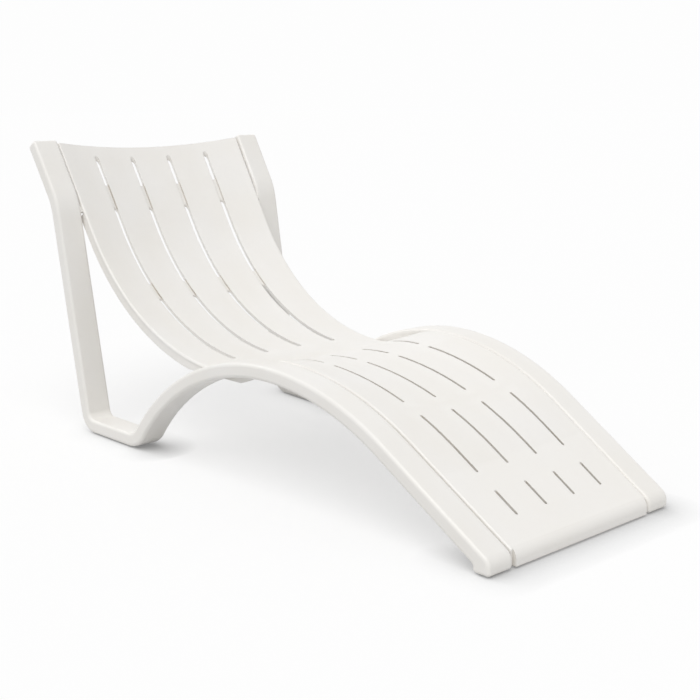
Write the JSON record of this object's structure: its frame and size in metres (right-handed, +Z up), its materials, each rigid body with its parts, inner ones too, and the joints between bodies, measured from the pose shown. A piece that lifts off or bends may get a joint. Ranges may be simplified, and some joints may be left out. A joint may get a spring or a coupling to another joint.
{
  "type": "sun lounger",
  "caption": "Low armless sun lounger: ribbon side rails with angular rear legs and a long front arch carry one curved slatted panel for back, seat and legs.",
  "frame": {"origin": "middle of the footprint, on the floor under the four glides", "axes": "+X along the lounger towards the foot end, +Y to the sitter's left, +Z up"},
  "size_m": [1.5494, 0.7152, 0.7358],
  "materials": {
    "rail_plastic": "matt off-white moulded polypropylene",
    "panel_plastic": "matt off-white moulded polypropylene",
    "glide_rubber": "pale grey moulded rubber",
    "screw_steel": "plain stainless steel"
  },
  "bodies": {
    "root": {"left_side_rail": "rail_plastic", "right_side_rail": "rail_plastic", "slatted_panel": "panel_plastic", "rear_left_glide": "glide_rubber", "rear_right_glide": "glide_rubber", "front_left_glide": "glide_rubber", "front_right_glide": "glide_rubber", "left_back_screws": "screw_steel", "right_back_screws": "screw_steel", "left_leg_screws": "screw_steel", "right_leg_screws": "screw_steel"}
  },
  "joints": []
}
